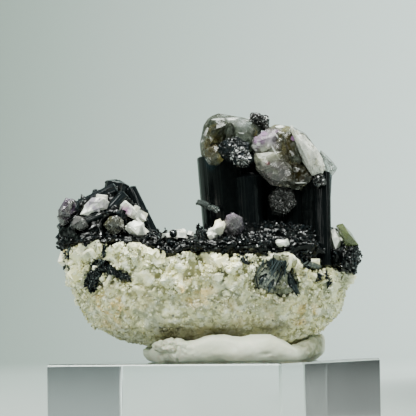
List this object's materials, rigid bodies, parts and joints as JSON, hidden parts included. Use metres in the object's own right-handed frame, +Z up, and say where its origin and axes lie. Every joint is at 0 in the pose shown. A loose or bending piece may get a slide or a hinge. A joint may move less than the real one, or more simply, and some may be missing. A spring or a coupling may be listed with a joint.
{
  "type": "fluorite with schorl specimen on a display block",
  "caption": "Pale feldspar rock with a black schorl crust, a schorl tower capped by clear grey-green fluorite, held by putty on a clear square block.",
  "frame": {"origin": "middle of the display block's underside", "axes": "+Z up, a viewer of the specimen's face looks along +Y, +X to that viewer's right"},
  "size_m": [0.0532, 0.0532, 0.0602],
  "materials": {
    "acrylic": "clear, polished",
    "putty": "matte putty",
    "feldspar": "sugary, blocky feldspar rock",
    "feldspar_white": "white cleaved feldspar",
    "schorl": "glossy black",
    "tourmaline_blue": "glossy blue-black",
    "fluorite": "clear crystal with cloudy zones"
  },
  "bodies": {
    "root": {"display_block": "acrylic", "mounting_putty": "putty", "feldspar_matrix": "feldspar", "feldspar_plate_top": "feldspar_white", "feldspar_mound_upper": "feldspar_white", "feldspar_mound_right": "feldspar_white", "feldspar_mound_lower": "feldspar_white", "feldspar_saddle": "feldspar_white", "feldspar_grain_front": "feldspar_white", "feldspar_grain_centre": "feldspar_white", "feldspar_end_right": "feldspar_white", "feldspar_back_left": "feldspar_white", "feldspar_back_right": "feldspar_white", "schorl_crust": "schorl", "schorl_tower": "schorl", "schorl_lath_free": "schorl", "schorl_knob_top": "schorl", "schorl_druse_front": "schorl", "schorl_druse_right": "schorl", "schorl_tuft": "schorl", "tourmaline_needles": "tourmaline_blue", "fluorite_tower_left": "fluorite", "fluorite_tower_front": "fluorite", "fluorite_top_right": "fluorite", "fluorite_top_left": "fluorite", "fluorite_top_edge": "fluorite", "fluorite_crust_front": "fluorite", "fluorite_end_right": "fluorite", "fluorite_mound_left": "fluorite", "fluorite_mound_front": "fluorite", "fluorite_mound_centre": "fluorite", "fluorite_back": "fluorite", "fluorite_pocket": "fluorite", "fluorite_lens": "fluorite"}
  },
  "joints": []
}
